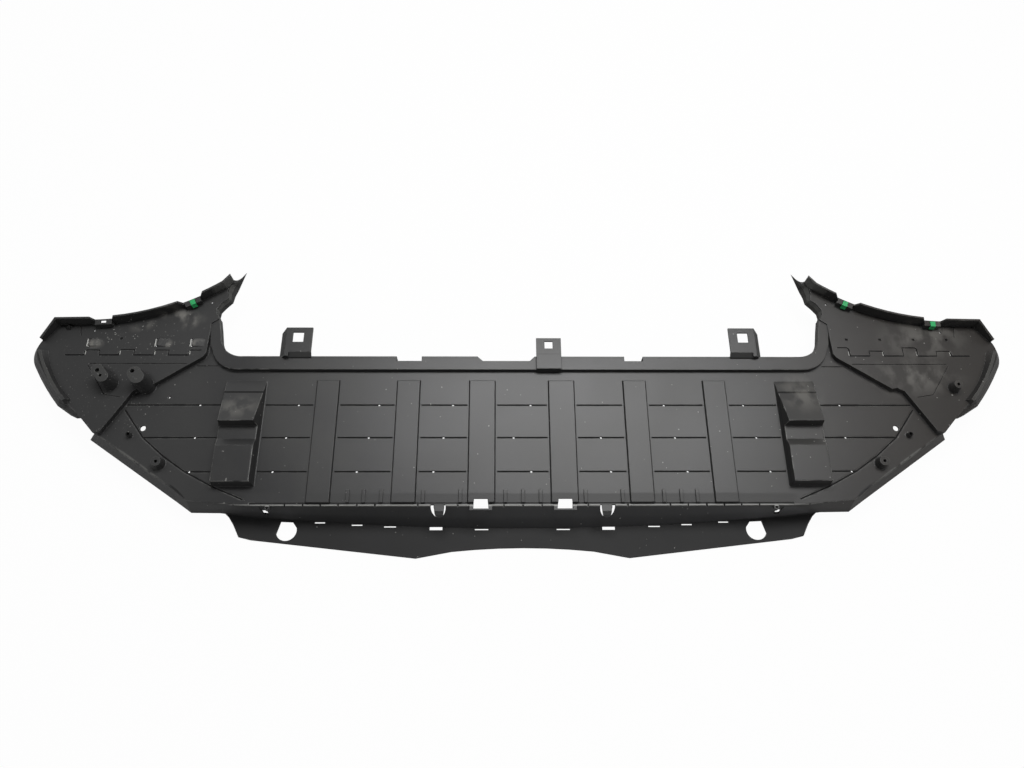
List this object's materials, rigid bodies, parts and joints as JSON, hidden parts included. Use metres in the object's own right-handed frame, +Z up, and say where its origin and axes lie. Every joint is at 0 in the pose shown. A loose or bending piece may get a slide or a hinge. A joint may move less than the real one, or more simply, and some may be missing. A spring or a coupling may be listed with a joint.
{
  "type": "front bumper undertray",
  "caption": "Flat moulded undertray that closes the underside of a car's nose: sloping front wall with a lip, ribbed floor, stepped wings, and spring clips on the rear upstands.",
  "frame": {"origin": "below the middle of the overall box, on the plane that the lip and skirts lie on", "axes": "+X along the bumper's width, +Y from the front lip to the engine side, +Z up"},
  "size_m": [1.57, 0.4754, 0.089],
  "materials": {
    "moulding": "satin moulded black, dusty",
    "clip": "green coated spring steel"
  },
  "bodies": {
    "root": {"undertray_panel": "moulding", "edge_clip_left_inner": "clip", "edge_clip_right_inner": "clip", "edge_clip_right_outer": "clip"}
  },
  "joints": []
}
